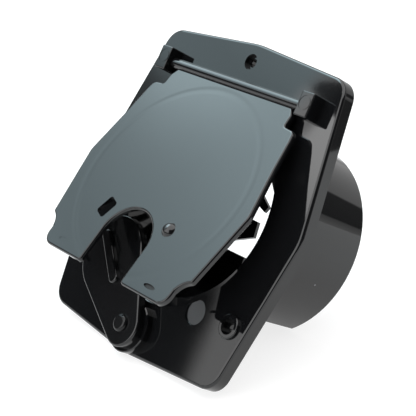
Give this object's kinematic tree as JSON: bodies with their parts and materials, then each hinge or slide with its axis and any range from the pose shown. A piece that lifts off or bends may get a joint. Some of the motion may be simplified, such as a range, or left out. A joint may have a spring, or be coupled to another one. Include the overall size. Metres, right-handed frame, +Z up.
{
  "type": "power cord hatch",
  "caption": "Wall-mounted power cord hatch: flange with a round collar, a hinged door with a cord notch, and a swivelling cord gate that covers the notch.",
  "frame": {"origin": "collar axis on the plane of the flange's back face", "axes": "+Z up as installed in an upright wall, +Y along the collar into the wall, the outside of the wall towards -Y, +X to the right seen from outside"},
  "size_m": [0.1606, 0.1074, 0.1669],
  "materials": {
    "base_plastic": "gloss",
    "door_plastic": "gloss",
    "gate_plastic": "gloss",
    "pin_steel": "satin",
    "rivet_plastic": "gloss",
    "stop_plastic": "gloss"
  },
  "bodies": {
    "base": {"base": "base_plastic", "hinge_pin": "pin_steel", "gate_pivot": "rivet_plastic"},
    "door": {"door": "door_plastic", "stop_pin": "stop_plastic"},
    "cord_gate": {"cord_gate": "gate_plastic"}
  },
  "joints": [
    {"name": "door_hinge", "type": "hinge", "parent": "base", "child": "door", "pos_m": [0, -0.0109, 0.06], "axis": [-1, 0, 0], "range_deg": [-15.9, 164.1]},
    {"name": "gate_swivel", "type": "hinge", "parent": "base", "child": "cord_gate", "pos_m": [0, -0.013, -0.0705], "axis": [0, 1, 0], "range_deg": [-134, 46]}
  ]
}
